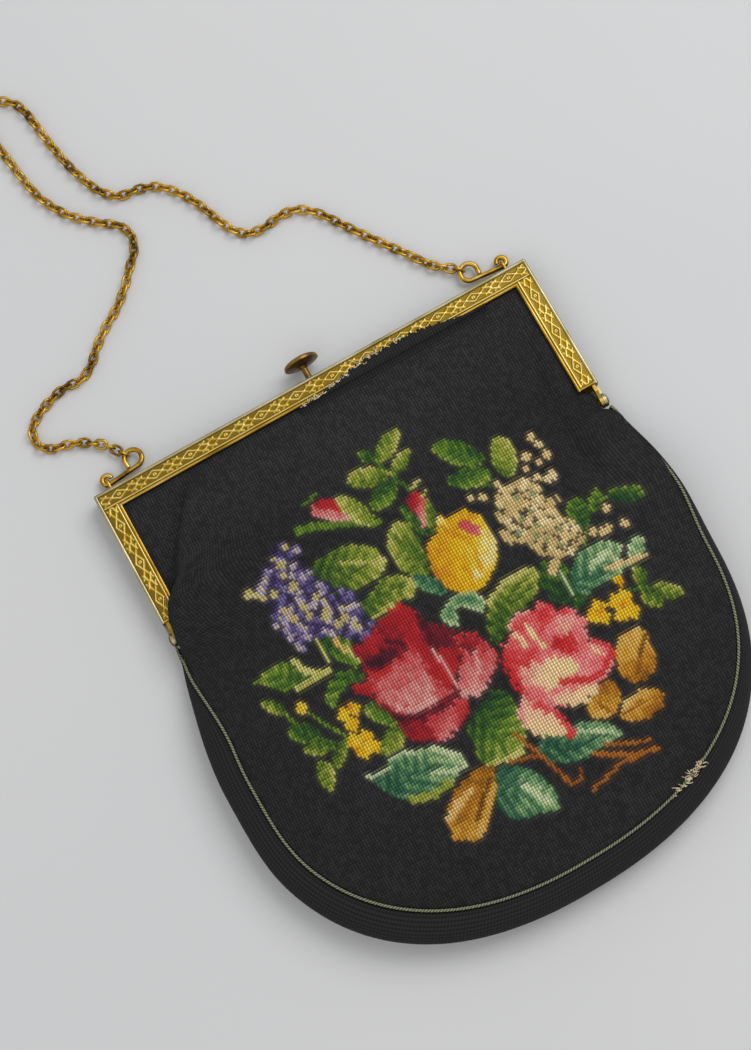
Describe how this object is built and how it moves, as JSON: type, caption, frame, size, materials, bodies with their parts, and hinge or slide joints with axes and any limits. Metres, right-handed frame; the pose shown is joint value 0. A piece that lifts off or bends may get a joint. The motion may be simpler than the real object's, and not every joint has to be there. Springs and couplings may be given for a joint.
{
  "type": "evening purse",
  "caption": "Needlework evening purse with a rounded gusseted pouch, a hinged gilt frame with an engraved band, a push-knob clasp, wire hooks and a loose oval-link chain.",
  "frame": {"origin": "middle of the purse's box on the surface that it lies on, without the chain and its hooks", "axes": "+X along the top bar towards the right hinge seen from the front, +Y from the bag's bottom to the knob, +Z out of the front panel"},
  "size_m": [0.1992, 0.3686, 0.027],
  "materials": {
    "gilt": "aged gilt",
    "dark_gilt": "tarnished gilt",
    "spring_steel": "satin",
    "needlework": "fine wool stitches",
    "black_wool": "fine wool stitches",
    "olive_braid": "twisted braid",
    "cream_lining": "satin weave"
  },
  "bodies": {
    "bag": {"rear_frame": "gilt", "rear_ornament": "dark_gilt", "hinge_pin_left": "dark_gilt", "hinge_pin_right": "dark_gilt", "clasp_striker": "spring_steel", "chain_lug_left": "gilt", "chain_lug_right": "gilt", "chain_hook_left": "gilt", "chain_hook_right": "gilt", "chain_ring_left": "gilt", "chain_ring_right": "gilt", "chain": "gilt", "front_panel": "needlework", "back_panel": "needlework", "gusset": "black_wool", "front_piping": "olive_braid", "back_piping": "olive_braid", "lining": "cream_lining"},
    "front_half": {"front_frame": "gilt", "front_ornament": "dark_gilt", "clasp_guide": "dark_gilt", "clasp_spring": "spring_steel", "front_panel_mouth": "needlework", "mouth_lining": "cream_lining"},
    "knob": {"clasp_knob": "gilt", "clasp_latch": "spring_steel"}
  },
  "joints": [
    {"name": "frame_open", "type": "hinge", "parent": "bag", "child": "front_half", "pos_m": [0, 0.0405, 0.00525], "axis": [1, 0, 0], "range_deg": [0, 75]},
    {"name": "knob_press", "type": "slide", "parent": "front_half", "child": "knob", "axis": [0, -1, 0], "range_m": [0, 0.0012], "stiffness_N_per_m": 600, "springref_m": -0.0005, "deforming": ["clasp_spring"]}
  ]
}
